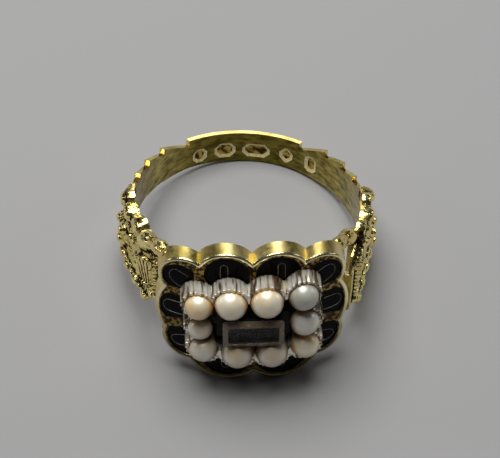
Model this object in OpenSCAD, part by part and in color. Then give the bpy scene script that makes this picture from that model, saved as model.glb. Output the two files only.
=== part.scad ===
// Mourning ring with half pearls, black enamel and a glazed lock of hair, lying on its side.
// Drawn upright first: finger hole along Z, bezel towards -Y. The last step lays it down.

/* [Finger hole and hoop] */
// Radius of the finger hole
finger_r = 8.5; // [8.2:0.1:8.8]
// Wall of the band and of the plate at its back
band_wall = 0.36; // [0.34:0.02:0.5]
// Width of the wide plate
plate_w = 2.7; // [2.6:0.1:3.2]
// Half the arc of the wide plate, in degrees
plate_half = 30.3; // [29:0.1:31]
// How far the plate sits to the right of the middle of the back, in degrees
plate_off = 0.9; // [0:0.1:1.2]
// How far the bent hoop is turned against the bezel, in degrees
hoop_turn = 3.4; // [0:0.2:4]

/* [Bezel] */
// Radius to which the bezel is curved round the finger
curve_r = 15.5; // [14.5:0.5:17]
// Distance from the finger's axis to the middle of the bezel's face
face_n = 10.83; // [10.6:0.01:11.1]
// Depth of the bezel's scalloped side wall
wall_d = 1.3; // [1.1:0.05:1.5]
// Least width of the gold rim round the enamel
rim_w = 0.3; // [0.24:0.02:0.4]
// Width of the narrowest gold bars between the enamel cells
bar_w = 0.42; // [0.3:0.02:0.5]
// Depth of the enamel cells
cell_d = 0.5; // [0.35:0.05:0.6]

/* [Pearl setting] */
// Height of the silver setting above the gold face
set_h = 1.3; // [1.2:0.05:1.4]
// Wall of the setting outside the pearls
set_wall = 0.3; // [0.24:0.02:0.34]
// Depth of each pearl's seat below the setting's edge
seat_d = 0.34; // [0.25:0.01:0.4]

/* [Hair locket] */
// Width of the bevelled glass
glass_w = 4.5; // [4.2:0.1:4.6]
// Height of the bevelled glass
glass_h = 2.46; // [2.2:0.02:2.48]
// Height of the glass table above the gold face
glass_n = 2.1; // [2:0.02:2.2]

/* [Hidden] */
$fn = 64;
fit = 0.03;
band_r = finger_r + band_wall;

// Leaves of the band, mirrored left and right: start and end in degrees from the middle of
// the back, upper edge at the start and at the end, lower edge at the start and at the end.
LEAVES = [
    [plate_half, 46.5, 0.72, 1.76, 1.36, 1.5],
    [46.5, 59.5, 1.22, 1.9, 1.4, 1.52],
    [59.5, 71.5, 1.32, 1.96, 1.41, 1.56],
    [71.5, 84, 1.54, 2.1, 1.44, 1.58]
];
// Plain lining on inside each shoulder: start and end in degrees, lower and upper edge.
lining = [84, 120.5, -1.4, 1.6];
lip_a = 1.7;
lip_h = 0.1;
lip_in = 0.06;

// Worn stamped hollows inside the hoop, as [degrees, w, width, height, cut corner].
HOLLOWS = [[-22.4, -0.42, 1.2, 1.3, 0.36], [-8.6, -0.3, 1.65, 1.38, 0.42], [7.7, -0.3, 2.15, 1.26, 0.42],
    [23.8, -0.22, 1.1, 1.36, 0.44], [38.1, -0.2, 1.05, 1.5, 0.28]];
hollow_d = 0.14;

// Each shoulder runs round the hoop to an angle and then straight on to the bezel. The right
// one stands out a little further, so it leaves the round sooner.
// Along it, s is the length in mm past the side of the ring, w the place across, h the height.
shoulder_r = finger_r + 0.5;
right_turn = 103;
left_turn = 112;
shoulder_foot = -0.42;
shoulder_start = -1.17;
shoulder_end = 8.7;
shoulder_rows = 50;
shoulder_columns = 28;
edge_drop = 0.14;
function turn_s(turn) = shoulder_r * (turn - 90) * PI / 180;
function along(s, w, h, turn) = s < turn_s(turn)
    ? let (a = 90 + s / shoulder_r * 180 / PI)
      [(shoulder_r + h) * sin(a), (shoulder_r + h) * cos(a), w]
    : [shoulder_r * sin(turn) + (s - turn_s(turn)) * cos(turn) + h * sin(turn),
       shoulder_r * cos(turn) - (s - turn_s(turn)) * sin(turn) + h * cos(turn),
       w];

// Scalloped edges of a shoulder, as [s, w].
UPPER_EDGE = [[-1.17, 2.35], [-0.3, 2.4], [0.1, 2.75], [0.5, 2.9], [0.95, 2.7], [1.2, 2.35], [1.5, 2.6],
    [1.9, 2.75], [2.4, 2.65], [2.8, 2.4], [3.2, 2.75], [3.6, 2.98], [4.0, 3.08], [4.4, 2.95], [4.8, 2.6],
    [5.2, 2.6], [5.6, 2.2], [6.1, 2.0], [6.6, 1.8], [8.7, 1.8]];
LOWER_EDGE = [[-1.17, -1.75], [-0.2, -1.9], [0.3, -2.1], [0.9, -1.85], [1.6, -2.35], [2.3, -2.2], [2.9, -2.65],
    [3.6, -2.4], [4.2, -2.95], [4.8, -2.75], [5.3, -2.65], [5.8, -3.1], [6.3, -2.9], [6.6, -2.25],
    [7.1, -1.95], [7.6, -1.7], [8.7, -1.6]];

// Domed lumps of the cast relief, as [s, w, radius, height].
LUMPS = [
    [0.25, -1.6, 0.58, 0.52], [1.65, -1.9, 0.56, 0.58], [2.9, -2.2, 0.56, 0.56], [4.25, -2.5, 0.52, 0.5],
    [1.75, 0.4, 0.52, 0.84], [1.45, -0.7, 0.62, 0.8], [2.3, 1.3, 0.36, 0.46], [0.5, 0.45, 0.55, 0.7],
    [5.0, 2.1, 0.36, 0.5], [5.85, -2.7, 0.48, 0.48], [7.15, -1.5, 0.42, 0.44]
];
// Three big knobs along the upper edge of each shoulder, in the same way.
RIGHT_KNOBS = [[-0.4, 2.1, 0.7, 0.54], [2.1, 2.25, 0.72, 0.56], [3.55, 2.1, 0.76, 0.6]];
LEFT_KNOBS = [[0.45, 2.15, 0.72, 0.56], [2.1, 2.25, 0.72, 0.58], [4.1, 2.35, 0.76, 0.62]];
// Leaves and scrolls, as [s, w, s, w, radius, height].
BLADES = [
    [3.6, 0.1, 4.45, 0.8, 0.3, 0.38], [4.5, 1.1, 5.5, 1.6, 0.3, 0.4], [5.3, 0.95, 6.3, 1.45, 0.26, 0.34],
    [2.2, -1.25, 3.3, -1.7, 0.28, 0.32], [2.45, -0.3, 3.2, -1.15, 0.3, 0.36], [4.15, 1.5, 4.6, 2.1, 0.26, 0.34],
    [-0.9, 1.3, 1.1, 1.45, 0.3, 0.28], [-0.9, -0.8, 0.7, -0.75, 0.3, 0.26], [-0.9, 0.25, 0.3, 0.3, 0.28, 0.24]
];
// A flower, as the [s, w] of its middle, and the small pit beside it.
FLOWER = [3.0, 0.8];
PIT = [3.72, 1.12];
petals = 5;
// A fluted shell spreads from a point: its two radii at each side, its sides in degrees.
SHELL = [6.7, -5.9];
shell_r = [4.4, 6.15, 6.85];
shell_a = [121, 92];
shell_ribs = 5;
fan_r = [3.45, 4.3];
fan_ribs = 6;
rope_s = 7.3;
rope_w = [-1.25, 1.7];
rope_pitch = 0.37;

function dome(d, r, h) = d < r ? h * (1 - pow(d / r, 2)) : 0;
function blade_d(p, k) = let (a = [k[0], k[1]], b = [k[2], k[3]],
    t = max(0, min(1, (p - a) * (b - a) / ((b - a) * (b - a))))) norm(p - a - t * (b - a));
function petal_h(p) = max([for (i = [0:petals - 1])
    dome(norm(p - FLOWER - 0.5 * [cos(72 * i + 20), sin(72 * i + 20)]), 0.34, 0.42)]);
function ribs(a, count) = abs(cos(180 * count * (shell_a[0] - a) / (shell_a[0] - shell_a[1])));
function shell_h(p) = let (q = p - SHELL, r = norm(q), a = atan2(q[1], q[0]),
    rim = shell_r[1] + (shell_r[2] - shell_r[1]) * (shell_a[0] - a) / (shell_a[0] - shell_a[1]))
    a > shell_a[0] || a < shell_a[1] ? 0
    : r > shell_r[0] && r < rim ? (0.16 + 0.26 * (r - shell_r[0]) / (rim - shell_r[0])) * (0.5 + 0.5 * ribs(a, shell_ribs))
    : r > fan_r[0] && r < fan_r[1] ? 0.1 + 0.16 * ribs(a, fan_ribs) : 0;
function rope_h(p) = p[1] < rope_w[0] || p[1] > rope_w[1] ? 0
    : dome(abs(p[0] - rope_s), 0.34, 0.2 + 0.16 * abs(cos(180 * (p[1] - 0.7 * p[0]) / rope_pitch)));
function relief_h(p, knobs) = max(concat(
    [0.03, petal_h(p), dome(norm(p - FLOWER), 0.24, 0.5), shell_h(p), rope_h(p)],
    [for (k = concat(LUMPS, knobs)) dome(norm(p - [k[0], k[1]]), k[2], k[3])],
    [for (k = BLADES) dome(blade_d(p, k), k[4], k[5])])) - dome(norm(p - PIT), 0.3, 0.3);

// The leaf that climbs from a shoulder to the bezel's upper corner, right and left. It starts
// at [s, w] of the shoulder, and its middle line then runs through [x, y, z, radius].
RIGHT_CLIMB = [[7.72, -4.8, 2.2, 0.46], [7.12, -5.9, 2.86, 0.52], [6.62, -6.9, 3.3, 0.52],
    [6.26, -7.9, 3.7, 0.46], [6.1, -8.6, 3.9, 0.38]];
LEFT_CLIMB = [[7.9, -4.8, 2.72, 0.5], [7.47, -5.9, 3.25, 0.56], [6.92, -6.9, 3.68, 0.54],
    [6.42, -7.9, 3.98, 0.47], [6.17, -8.6, 4.1, 0.38]];
right_start = [3.65, 1.9];
left_start = [4.22, 2.14];
climb_first_r = 0.34;
climb_sides = 8;

// Lobes of the right half of the bezel, as [x, w, radius], from the top round to the bottom.
LOBES = [[1.86, 3.47, 2.36], [4.95, 3.05, 1.92], [3.26, -0.1, 3.84], [4.62, -2.75, 2.06], [2.0, -3.28, 3.1]];
// Round tops of the enamel cells in the same lobes, as [x, w, radius].
CELLS = [[1.86, 3.72, 1.71], [5.34, 3.03, 1.24], [5.3, 0.02, 1.58], [4.68, -2.8, 1.66], [1.98, -3.98, 2.04]];
// Middle lines of the gold bars between the cells, as inner and outer [x, w], and the width
// that each has over the narrowest.
BARS = [
    [[0, 2.4], [0, 7], 0], [[3.93, 2.2], [3.93, 9], 0.28], [[4.2, 1.45], [9, 1.87], 0.2],
    [[4.2, -1.3], [9, -1.93], 0.36], [[3.1, -2.5], [5.6, -5.75], 0.1], [[0, -2.4], [0, -7.2], 0]
];
cells = len(CELLS);
low_edge = LOBES[4][1] - LOBES[4][2];

// Half pearls, clockwise from the upper left, as [x, w, radius].
PEARLS = [
    [-3.97, 1.72, 1.07], [-1.65, 2.14, 1.22], [0.97, 2.3, 1.24], [3.62, 2.47, 1.14], [3.72, -0.05, 1.1],
    [3.76, -2.32, 1.07], [1.3, -2.62, 1.21], [-1.2, -2.62, 1.2], [-3.7, -2.38, 1.05], [-3.92, -0.37, 0.93]
];
girdle = set_h - 0.08;
flute_d = 0.07;
flute_pitch = 0.42;

// The locket: black pedestal, hair and glass, about the point [locket_x, locket_w].
locket_x = -0.06;
locket_w = -0.2;
bevel_x = 0.38;
bevel_w = 0.48;
well_w = 5.4;
well_h = 2.3;
well_wall = -0.1;
floor_n = 0.75;
stand_n = 1.5;
hair_t = 0.12;
glass_in = 0.2;

// Lying down: the lower lobes touch the surface and so does the plate, touch_a from its middle.
touch_a = 12.3;
lobe_n = face_n - wall_d - (curve_r - sqrt(pow(curve_r, 2) - pow(LOBES[4][0], 2)));
touch_w = -plate_w / 2 - band_r * sin(touch_a) * sin(hoop_turn);
lean = atan((touch_w - low_edge) / (lobe_n + band_r * cos(touch_a)));
lift = 0.003 - low_edge * cos(lean) - lobe_n * sin(lean);
front = PEARLS[6];
front_n = face_n - curve_r + sqrt(pow(curve_r + girdle, 2) - pow(front[0], 2));
front_reach = front_n * cos(lean) - front[1] * sin(lean) + front[2];
back_reach = band_r * cos(lean) + plate_w / 2 * sin(lean);
mid_y = (front_reach - back_reach) / 2;

module lay_down() {
    translate([0, mid_y, lift])
        rotate([-lean, 0, 0])
            children();
}

// A piece of a round wall between two angles from the middle of the back.
module arc_wall(r1, r2, a1, a2, w1, w2) {
    rotate([0, 0, 90 - a2])
        rotate_extrude(angle = a2 - a1)
            translate([r1, w1])
                square([r2 - r1, w2 - w1]);
}

// A prism that stands on the band over one leaf, between two straight lines. Each line is
// given by its height at the leaf's start and end, and runs on past the end.
module over_leaf(start, end, low, high, r1, r2, onward) {
    half = band_r * sin((end - start) / 2);
    more = onward / (2 * half);
    rotate([0, 0, -(start + end) / 2])
        translate([0, r2, 0])
            rotate([90, 0, 0])
                linear_extrude(r2 - r1)
                    polygon([[-half, low[0]], [half + onward, low[1] + (low[1] - low[0]) * more],
                        [half + onward, high[1] + (high[1] - high[0]) * more], [-half, high[0]]]);
}

// What one side of the band loses over and under its leaves and its lining.
module leaf_edges(first) {
    for (i = [0:len(LEAVES) - 1]) {
        k = LEAVES[i];
        start = i == 0 ? first : k[0];
        over_leaf(start, k[1], [k[2], k[3]], [4, 4], finger_r - 0.7, band_r + 0.7, 0.5);
        over_leaf(start, k[1], [-4, -4], [-k[4], -k[5]], finger_r - 0.7, band_r + 0.7, 0.5);
    }
    arc_wall(finger_r - 1, band_r + 1, lining[0], lining[1] + 2, lining[3], 4);
    arc_wall(finger_r - 1, band_r + 1, lining[0], lining[1] + 2, -4, lining[2]);
}

// The raised lip at the wide end of a leaf.
module lip(k) {
    share = lip_a / (k[1] - k[0]);
    up = k[3] - lip_in;
    low = lip_in - k[5];
    over_leaf(k[1] - lip_a, k[1] - 0.3, [low + (k[5] - k[4]) * share, low],
        [up - (k[3] - k[2]) * share, up], finger_r + 0.2, band_r + lip_h, 0);
}

// The plate, both bands and the plain lining, cut from one round wall.
module hoop() {
    reach = plate_half + plate_off + 1;
    rotate([0, hoop_turn, 0]) {
        difference() {
            arc_wall(finger_r, band_r, -lining[1], lining[1], -2.2, 2.6);
            arc_wall(finger_r - 1, band_r + 1, -reach, reach, plate_w / 2, 4);
            arc_wall(finger_r - 1, band_r + 1, -reach, reach, -4, -plate_w / 2);
            leaf_edges(plate_half + plate_off);
            mirror([1, 0, 0])
                leaf_edges(plate_half - plate_off);
            for (k = HOLLOWS)
                hollow(k);
        }
        for (i = [0:len(LEAVES) - 2]) {
            lip(LEAVES[i]);
            mirror([1, 0, 0])
                lip(LEAVES[i]);
        }
    }
}

module hollow(k) {
    x = k[2] / 2;
    y = k[3] / 2;
    c = k[4];
    rotate([0, 0, -k[0]])
        translate([0, finger_r - 0.4, k[1]])
            rotate([-90, 0, 0])
                linear_extrude(0.4 + hollow_d)
                    polygon([[x, y - c], [x - c, y], [c - x, y], [-x, y - c],
                        [-x, c - y], [c - x, -y], [x - c, -y], [x, c - y]]);
}

// One shoulder with its cast relief. Each row of points runs down the face from the upper
// edge to the lower one, and then back up the inner side.
module shoulder(turn, knobs) {
    step = (shoulder_end - shoulder_start) / (shoulder_rows - 1);
    face = [for (i = [0:shoulder_rows - 1]) let (s = shoulder_start + i * step,
        up = lookup(s, UPPER_EDGE), low = lookup(s, LOWER_EDGE))
        [for (j = [0:shoulder_columns]) let (w = up + (low - up) * j / shoulder_columns,
            drop = j == 0 || j == shoulder_columns ? edge_drop : 0)
            along(s, w, relief_h([s, w], knobs) - drop, turn)]];
    foot = [for (i = [0:shoulder_rows - 1]) let (s = shoulder_start + i * step)
        [along(s, lookup(s, LOWER_EDGE), shoulder_foot, turn),
         along(s, lookup(s, UPPER_EDGE), shoulder_foot, turn)]];
    wide = shoulder_columns + 3;
    points = [for (i = [0:shoulder_rows - 1]) each concat(face[i], foot[i])];
    last = wide * (shoulder_rows - 1);
    polyhedron(points, [
        [for (j = [wide - 1:-1:0]) j],
        [for (j = [0:wide - 1]) last + j],
        for (i = [0:shoulder_rows - 2], j = [0:wide - 1]) let (a = wide * i + j,
            b = wide * i + (j + 1) % wide) each [[a, b, a + wide], [b, b + wide, a + wide]]]);
}

// The leaf from the shoulder to the bezel's upper corner, on one side, 1 right and -1 left.
// The left one is drawn on the right and then mirrored.
module climbing_leaf(side) {
    start = side > 0 ? right_start : left_start;
    rows = side > 0 ? RIGHT_CLIMB : LEFT_CLIMB;
    first = along(start[0], start[1], -0.18, side > 0 ? right_turn : left_turn);
    a = side * hoop_turn;
    middles = concat([[first[0] * cos(a) + first[2] * sin(a), first[1], first[2] * cos(a) - first[0] * sin(a)]],
        [for (k = rows) [k[0], k[1], k[2]]]);
    thick = concat([climb_first_r], [for (k = rows) k[3]]);
    last = len(rows);
    points = [for (i = [0:last]) let (
        ahead = middles[min(i + 1, last)] - middles[max(i - 1, 0)],
        out = [-ahead[1], ahead[0], 0] / norm([ahead[0], ahead[1]]),
        up = cross(ahead, out) / norm(cross(ahead, out)))
        for (j = [0:climb_sides - 1]) let (a = 360 * j / climb_sides)
            middles[i] + thick[i] * (out * cos(a) * (j % 2 == 0 ? 1 : 0.85) + up * sin(a))];
    foot = climb_sides * last;
    polyhedron(points, [
        [for (j = [0:climb_sides - 1]) j],
        [for (j = [climb_sides - 1:-1:0]) foot + j],
        for (i = [0:last - 1], j = [0:climb_sides - 1]) let (a = climb_sides * i + j,
            b = climb_sides * i + (j + 1) % climb_sides)
            each [[a, a + climb_sides, b], [b, a + climb_sides, b + climb_sides]]]);
}

// A prism along the bezel's normal, from its flat outline in x and w.
module prism(n1, n2) {
    translate([0, -n1, 0])
        rotate([90, 0, 0])
            linear_extrude(n2 - n1)
                children();
}

// The round the bezel is curved to, at a height above its face.
module curve_to(level) {
    translate([0, curve_r - face_n, -12])
        cylinder(r = curve_r + level, h = 24, $fn = 256);
}

// Carries what is drawn at the origin, facing -Y, to a pearl's place, at a level over the face.
module on_face(x, w, level) {
    translate([0, curve_r - face_n, w])
        rotate([0, 0, asin(x / (curve_r + girdle))])
            translate([0, -(curve_r + level), 0])
                children();
}

module both_sides() {
    children();
    mirror([1, 0])
        children();
}

module bezel_outline(inset) {
    both_sides()
        for (k = LOBES)
            translate([k[0], k[1]])
                circle(k[2] - inset);
    square([6, 6], center = true);
}

function towards(p, q) = (q - p) / norm(q - p);
function beside(bar, d) = let (t = towards(bar[0], bar[1])) [t[1], -t[0]] * d;

// The flat shape of a cell: inside the rim, under its round top and between its two bars.
module cell_shape(i, play) {
    a = BARS[i];
    b = BARS[i + 1];
    da = beside(a, (bar_w + a[2]) / 2 + play);
    db = beside(b, -(bar_w + b[2]) / 2 - play);
    intersection() {
        translate([LOBES[i][0], LOBES[i][1]])
            circle(LOBES[i][2] - rim_w - play);
        translate([CELLS[i][0], CELLS[i][1]])
            circle(CELLS[i][2] - play);
        polygon([a[0] + da, a[1] + da, b[1] + db, b[0] + db]);
    }
}

module setting_outline(extra) {
    for (k = PEARLS)
        translate([k[0], k[1]])
            circle(k[2] + set_wall + extra);
    polygon([for (k = PEARLS) [k[0], k[1]]]);
}

module mirror_if(yes) {
    if (yes)
        mirror([1, 0])
            children();
    else
        children();
}

module bezel() {
    difference() {
        intersection() {
            prism(4, 13)
                bezel_outline(0);
            curve_to(0);
        }
        curve_to(-wall_d);
        for (i = [0:cells - 1]) {
            cell_tool(i, false, 0, -cell_d);
            cell_tool(i, true, 0, -cell_d);
        }
    }
}

// What a cell holds or what cuts it, from a level up through the face.
module cell_tool(i, left, play, level) {
    difference() {
        prism(5, 13)
            difference() {
                mirror_if(left)
                    cell_shape(i, play);
                setting_outline(play - 0.1);
            }
        curve_to(level);
    }
}

// The closed back behind the hair, from the bezel's tray down to the finger hole.
module back_box() {
    intersection() {
        prism(5, 10)
            square([8.6, 5.6], center = true);
        curve_to(-wall_d + 0.2);
    }
}

module ring_body() {
    color("goldenrod")
        lay_down() {
            hoop();
            rotate([0, hoop_turn, 0]) {
                shoulder(right_turn, RIGHT_KNOBS);
                mirror([1, 0, 0])
                    shoulder(left_turn, LEFT_KNOBS);
            }
            climbing_leaf(1);
            mirror([1, 0, 0])
                climbing_leaf(-1);
            difference() {
                union() {
                    back_box();
                    bezel();
                }
                rotate([0, hoop_turn, 0])
                    cylinder(r = finger_r, h = 24, center = true, $fn = 256);
            }
        }
}

// The setting's fluted side runs clockwise round the pearls, as one polygon. Each pearl's
// share of it starts and ends where its round crosses those of the pearls beside it.
function wall_r(k) = k[2] + set_wall;
function heading(a, b) = atan2(b[1] - a[1], b[0] - a[0]);
function spread(a, b) = let (d = norm([a[0] - b[0], a[1] - b[1]]))
    acos((pow(wall_r(a), 2) + pow(d, 2) - pow(wall_r(b), 2)) / (2 * wall_r(a) * d));
function fluted_arc(before, k, after) = let (
    start = heading(k, before) - spread(k, before),
    span = (start - heading(k, after) - spread(k, after) + 720) % 360,
    count = 2 * round(span * PI / 180 * wall_r(k) / flute_pitch))
    [for (j = [0:count - 1]) let (a = start - span * j / count, r = wall_r(k) - (j % 2) * flute_d)
        [k[0] + r * cos(a), k[1] + r * sin(a)]];

module fluted_outline() {
    last = len(PEARLS);
    polygon([for (i = [0:last - 1])
        each fluted_arc(PEARLS[(i + last - 1) % last], PEARLS[i], PEARLS[(i + 1) % last])]);
}

// The room inside the ring of pearls, up to the walls of their seats.
module inner_well() {
    difference() {
        polygon([for (k = PEARLS) [k[0], k[1]]]);
        for (k = PEARLS)
            translate([k[0], k[1]])
                circle(k[2] + well_wall);
    }
}

module pearl_setting() {
    color("silver")
        lay_down()
            difference() {
                intersection() {
                    prism(8, 14)
                        fluted_outline();
                    curve_to(set_h);
                }
                curve_to(fit);
                translate([locket_x, 0, locket_w])
                    prism(7, 15)
                        square([well_w, well_h], center = true);
                prism(7, 15)
                    inner_well();
                for (k = PEARLS)
                    on_face(k[0], k[1], set_h - seat_d)
                        rotate([90, 0, 0])
                            cylinder(r = k[2] + fit, h = 3);
            }
}

module pearl(i) {
    k = PEARLS[i];
    base = set_h - seat_d + fit - girdle;
    color("ivory")
        lay_down()
            on_face(k[0], k[1], girdle)
                rotate([90, 0, 0])
                    difference() {
                        sphere(k[2]);
                        translate([-2, -2, base - 4])
                            cube(4);
                    }
}

// Cells 1 to 5 run down the right side and 6 to 10 down the left.
module enamel(i) {
    color("black")
        lay_down()
            intersection() {
                cell_tool(i % cells, i >= cells, fit, -cell_d + fit);
                curve_to(-0.1);
            }
}

module locket_stand() {
    color([0.05, 0.05, 0.06])
        lay_down()
            difference() {
                translate([locket_x, 0, locket_w]) {
                    prism(8, face_n + floor_n)
                        square([well_w - 2 * fit, well_h - 2 * fit], center = true);
                    prism(9, face_n + stand_n)
                        square([glass_w - 0.1, glass_h - 0.36], center = true);
                }
                curve_to(fit);
            }
}

module hair_panel() {
    color("saddlebrown")
        lay_down()
            translate([locket_x, 0, locket_w])
                prism(face_n + stand_n + fit / 2, face_n + stand_n + hair_t)
                    square([glass_w - 2 * bevel_x + 0.1, glass_h - 2 * bevel_w + 0.2], center = true);
}

// A flat slip of the glass: its size and its height above the gold face.
module glass_slip(w, h, level) {
    translate([locket_x, 0, locket_w])
        prism(face_n + level, face_n + level + 0.01)
            polygon([for (sx = [1, -1], sy = [1, -1], c = sx == sy ? [0, 1] : [1, 0])
                [sx * (w / 2 - c * 0.16), sy * (h / 2 - (1 - c) * 0.16)]]);
}

module locket_glass() {
    foot = stand_n + hair_t + fit;
    color([0.8, 0.85, 0.9, 0.5])
        lay_down()
            hull() {
                glass_slip(glass_w - 2 * glass_in, glass_h - 2 * glass_in, foot);
                glass_slip(glass_w, glass_h, foot + 0.2);
                glass_slip(glass_w - 2 * bevel_x, glass_h - 2 * bevel_w, glass_n);
            }
}

ring_body();
pearl_setting();
for (i = [0:len(PEARLS) - 1])
    pearl(i);
for (i = [0:2 * cells - 1])
    enamel(i);
locket_stand();
hair_panel();
locket_glass();
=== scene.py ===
# %% [markdown]
# # A mourning ring with half pearls, black enamel and a lock of hair
# The ring was measured and modelled in a CAD program first. Here it is dressed: the gold gets
# its chased relief and its tarnish, the half pearls their skin, and the hair its plait.
# Sizes are in millimetres until the very last step of each piece, because a jeweller thinks
# in millimetres, and Blender then gets them in metres.

# %% Load the ring as it came from the CAD model
import math

import bmesh
import bpy
import numpy as np
from mathutils import Matrix, Vector, noise


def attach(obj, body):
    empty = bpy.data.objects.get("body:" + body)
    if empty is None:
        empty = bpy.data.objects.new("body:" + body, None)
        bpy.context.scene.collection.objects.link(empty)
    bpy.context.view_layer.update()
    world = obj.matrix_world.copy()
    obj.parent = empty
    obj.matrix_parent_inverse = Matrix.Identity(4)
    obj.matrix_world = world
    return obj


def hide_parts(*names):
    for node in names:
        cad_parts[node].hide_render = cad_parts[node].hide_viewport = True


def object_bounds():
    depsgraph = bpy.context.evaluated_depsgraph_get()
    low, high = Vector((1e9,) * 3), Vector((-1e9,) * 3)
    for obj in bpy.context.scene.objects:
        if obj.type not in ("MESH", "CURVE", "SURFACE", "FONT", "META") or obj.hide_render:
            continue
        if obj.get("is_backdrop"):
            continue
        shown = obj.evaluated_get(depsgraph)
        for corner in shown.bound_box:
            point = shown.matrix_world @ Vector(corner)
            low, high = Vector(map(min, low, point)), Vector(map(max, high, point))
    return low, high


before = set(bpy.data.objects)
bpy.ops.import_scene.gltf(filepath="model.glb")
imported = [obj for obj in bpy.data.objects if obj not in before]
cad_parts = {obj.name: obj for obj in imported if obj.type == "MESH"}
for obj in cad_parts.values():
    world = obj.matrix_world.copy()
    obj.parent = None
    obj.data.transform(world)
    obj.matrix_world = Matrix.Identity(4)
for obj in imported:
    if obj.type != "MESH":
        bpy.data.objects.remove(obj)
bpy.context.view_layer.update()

# %% [markdown]
# ## From the standing ring to the lying ring
# Every piece is drawn on the standing ring: the finger hole runs along Z and the pearls face
# -Y. One matrix then lays the ring on its side, leaning on the lower edge of its bezel, and
# turns millimetres into metres. It is the same move that the CAD model makes.

# %% The move that lays the ring down
LEAN = math.radians(15.2357)
SHIFT = Vector((0, 2.28639, 3.68843))
LAY_DOWN = Matrix.Scale(0.001, 4) @ Matrix.Translation(SHIFT) @ Matrix.Rotation(-LEAN, 4, "X")
BORE = 8.5    # radius of the finger hole
CURVE_R = 15.5    # the bezel is curved round the finger to this radius
FACE = 10.83    # from the finger's axis to the middle of the gold face
SETTING_H = 1.3    # the silver setting stands this far over the gold face
GIRDLE = SETTING_H - 0.08   # level of the half pearls' widest line
TURN = math.radians(3.4)    # the bent hoop is turned this much against the bezel
HOOP_TURN = Matrix.Rotation(TURN, 4, "Y")
print("the ring leans by", round(math.degrees(LEAN), 2), "degrees")


# %% Places on the bezel's curved face
def on_face(x, w, level):
    """A frame on the bezel: its X to the right, its Y up the finger, its Z out of the face."""
    turn = math.asin(x / (CURVE_R + GIRDLE))
    return (Matrix.Translation((0, CURVE_R - FACE, w)) @ Matrix.Rotation(turn, 4, "Z")
            @ Matrix.Translation((0, -(CURVE_R + level), 0)) @ Matrix.Rotation(math.pi / 2, 4, "X"))


def spot(x, w, level):
    """A point of the face, given by its place straight in front and its level."""
    return Vector((x, CURVE_R - FACE - math.sqrt((CURVE_R + level) ** 2 - x * x), w))


print("the middle of the face lies at", tuple(round(v, 2) for v in spot(0, 0, 0)))


# %% [markdown]
# ## Turning a mesh into a piece
# A piece keeps its object at the origin and its place in its mesh, like the CAD solids. The
# helper below merges doubles, turns the faces outwards, lays the mesh down, gives the piece its
# finishes and hides the solids it stands for.

# %% Helpers that finish a piece
def to_mesh(name, bm):
    """Close a drawing and keep its mesh."""
    mesh = bpy.data.meshes.new(name)
    bm.to_mesh(mesh)
    bm.free()
    return mesh


def add_object(name, data):
    """Put a mesh, a lamp or a camera into the scene."""
    made = bpy.data.objects.new(name, data)
    bpy.context.scene.collection.objects.link(made)
    return made


def finish_piece(name, bm, materials, stands_for=(), turn_faces=True, merge=0.0005):
    """Clean a drawn mesh, lay it down, give it its finishes and hide the solids it stands for."""
    bmesh.ops.remove_doubles(bm, verts=bm.verts, dist=merge)
    if turn_faces:
        bmesh.ops.recalc_face_normals(bm, faces=bm.faces)
    bmesh.ops.transform(bm, matrix=LAY_DOWN, verts=bm.verts)
    mesh = to_mesh(name, bm)
    mesh.shade_smooth()
    for material in materials:
        mesh.materials.append(material)
    piece = add_object(name, mesh)
    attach(piece, "root")
    if stands_for:
        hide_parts(*stands_for)
    print(name, len(mesh.polygons), "faces")
    return piece


# %% [markdown]
# ## Small tools for surfaces
# A surface is a net of small boxes, the nodes, that pass values and colours on. These helpers
# add the ones that come again and again: sums, masks, blends of two colours, noises and bumps.

# %% Small helpers for nodes
SHADER = "Principled BSDF"
MIX_FACTOR, MIX_FIRST, MIX_SECOND, MIX_RESULT = 0, 6, 7, 2    # the colour sockets of a Mix node


def set_inputs(tree, **values):
    """Write plain values straight on the sockets of the main shader."""
    for key, value in values.items():
        tree.nodes[SHADER].inputs[key.replace("_", " ")].default_value = value


def wire_in(tree, source, socket="Base Color"):
    """Join a result of the net to a socket of the main shader."""
    tree.links.new(source, tree.nodes[SHADER].inputs[socket])


def new_material(name, **values):
    """A fresh material and its net, with plain values on its main shader."""
    material = bpy.data.materials.new(name)
    material.use_nodes = True
    set_inputs(material.node_tree, **values)
    return material, material.node_tree


def add_node(tree, kind, **values):
    """A node with its settings, and its inputs where the node has no such setting."""
    made = tree.nodes.new(kind)
    for key, value in values.items():
        if hasattr(made, key):
            setattr(made, key, value)
        else:
            made.inputs[key.replace("_", " ")].default_value = value
    return made


def feed(tree, source, socket):
    """Join a net's result to a socket, or write a plain number there."""
    if isinstance(source, bpy.types.NodeSocket):
        tree.links.new(source, socket)
    else:
        socket.default_value = source


def math_node(tree, operation, *sources):
    """One sum, on values from the net or plain numbers."""
    made = add_node(tree, "ShaderNodeMath", operation=operation)
    for socket, source in zip(made.inputs, sources):
        feed(tree, source, socket)
    return made.outputs[0]


def map_range(tree, source, low, high, to_low, to_high):
    """What runs from low to high now runs from to_low to to_high, and stops there."""
    made = add_node(tree, "ShaderNodeMapRange")
    for at, value in enumerate((low, high, to_low, to_high), start=1):
        made.inputs[at].default_value = value
    tree.links.new(source, made.inputs[0])
    return made.outputs[0]


def mask(tree, source, low, high):
    """0 below low and 1 above high."""
    return map_range(tree, source, low, high, 0.0, 1.0)


def mix_colors(tree, factor, first, second):
    """The first colour where the factor is 0, the second where it is 1."""
    made = add_node(tree, "ShaderNodeMix", data_type="RGBA")
    tree.links.new(factor, made.inputs[MIX_FACTOR])
    for at, color in ((MIX_FIRST, first), (MIX_SECOND, second)):
        feed(tree, (*color, 1) if isinstance(color, tuple) else color, made.inputs[at])
    return made.outputs[MIX_RESULT]


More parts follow.
